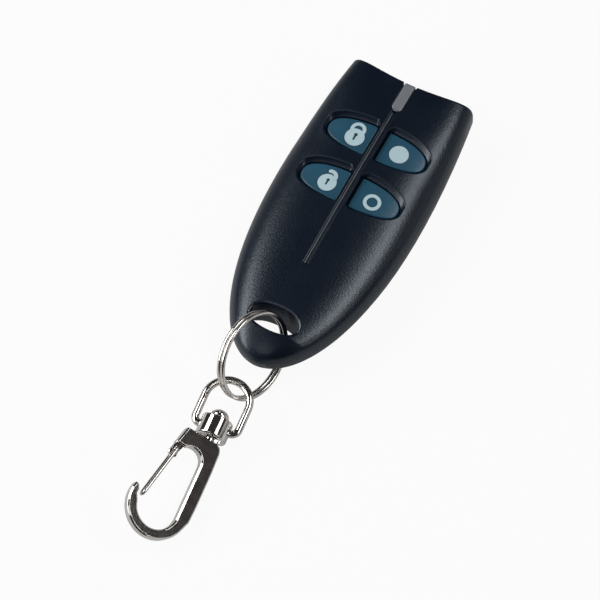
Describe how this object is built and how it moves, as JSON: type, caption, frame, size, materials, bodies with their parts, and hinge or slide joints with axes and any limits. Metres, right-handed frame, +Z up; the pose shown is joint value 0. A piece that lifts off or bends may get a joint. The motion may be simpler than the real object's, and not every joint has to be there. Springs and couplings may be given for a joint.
{
  "type": "remote control key fob",
  "caption": "Remote control key fob with four leaf-shaped keys, a split ring through its nose and a swivel snap hook.",
  "frame": {"origin": "on the flat rear face of the fob, 39 mm from its narrow tip on the centre line", "axes": "+Z up through the keys, +Y towards the wide end with the indicator, -Y towards the ring and hook, +X right"},
  "size_m": [0.0326, 0.1149, 0.0183],
  "materials": {
    "body_plastic": "fine grained, near black navy",
    "key_plastic": "smooth satin, dark petrol blue",
    "lens_plastic": "smoky translucent",
    "bright_metal": "bright nickel plate",
    "spring_steel": "bright drawn wire",
    "board": "green solder mask",
    "chip_plastic": "moulded epoxy",
    "plain_steel": "plain stamped steel",
    "led_plastic": "white moulded",
    "contact_brass": "plain strip"
  },
  "bodies": {
    "fob": {"front_shell": "body_plastic", "rear_cover": "body_plastic", "light_guide": "lens_plastic", "switch_lock": "plain_steel", "switch_unlock": "plain_steel", "switch_disc": "plain_steel", "switch_circle": "plain_steel", "circuit_board": "board", "controller_chip": "chip_plastic", "transmitter_chip": "chip_plastic", "crystal_can": "plain_steel", "chip_passives": "led_plastic", "indicator_led": "led_plastic", "coin_cell": "plain_steel", "cell_clip": "contact_brass", "cell_contact": "contact_brass", "case_screw": "plain_steel"},
    "key_lock": {"key_lock": "key_plastic", "plunger_lock": "chip_plastic"},
    "key_unlock": {"key_unlock": "key_plastic", "plunger_unlock": "chip_plastic"},
    "key_disc": {"key_disc": "key_plastic", "plunger_disc": "chip_plastic"},
    "key_circle": {"key_circle": "key_plastic", "plunger_circle": "chip_plastic"},
    "ring": {"split_ring": "spring_steel"},
    "eye": {"swivel_eye": "bright_metal"},
    "hook": {"snap_hook": "bright_metal"},
    "gate": {"gate_wire": "spring_steel"}
  },
  "joints": [
    {"name": "press_lock", "type": "slide", "parent": "fob", "child": "key_lock", "axis": [0, 0, -1], "range_m": [0, 0.0005], "stiffness_N_per_m": 400},
    {"name": "press_unlock", "type": "slide", "parent": "fob", "child": "key_unlock", "axis": [0, 0, -1], "range_m": [0, 0.0005], "stiffness_N_per_m": 400},
    {"name": "press_disc", "type": "slide", "parent": "fob", "child": "key_disc", "axis": [0, 0, -1], "range_m": [0, 0.0005], "stiffness_N_per_m": 400},
    {"name": "press_circle", "type": "slide", "parent": "fob", "child": "key_circle", "axis": [0, 0, -1], "range_m": [0, 0.0005], "stiffness_N_per_m": 400},
    {"name": "ring_swing", "type": "hinge", "parent": "fob", "child": "ring", "pos_m": [0.0006, -0.0305, 0.008], "axis": [0, 0, 1], "range_deg": [-6, 30]},
    {"name": "eye_lift", "type": "hinge", "parent": "ring", "child": "eye", "pos_m": [0.00073, -0.04621, 0.00366], "axis": [-0.9963, -0.0854, 0], "range_deg": [0, 25]},
    {"name": "hook_swivel", "type": "hinge", "parent": "eye", "child": "hook", "pos_m": [-0.00079, -0.05435, 0.00431], "axis": [0.0852, -0.9933, -0.0785], "continuous": true},
    {"name": "gate_open", "type": "hinge", "parent": "hook", "child": "gate", "pos_m": [-0.00487, -0.06308, 0.00653], "axis": [0.5159, -0.0234, 0.8563], "range_deg": [0, 30], "stiffness_Nm_per_rad": 0.002}
  ]
}
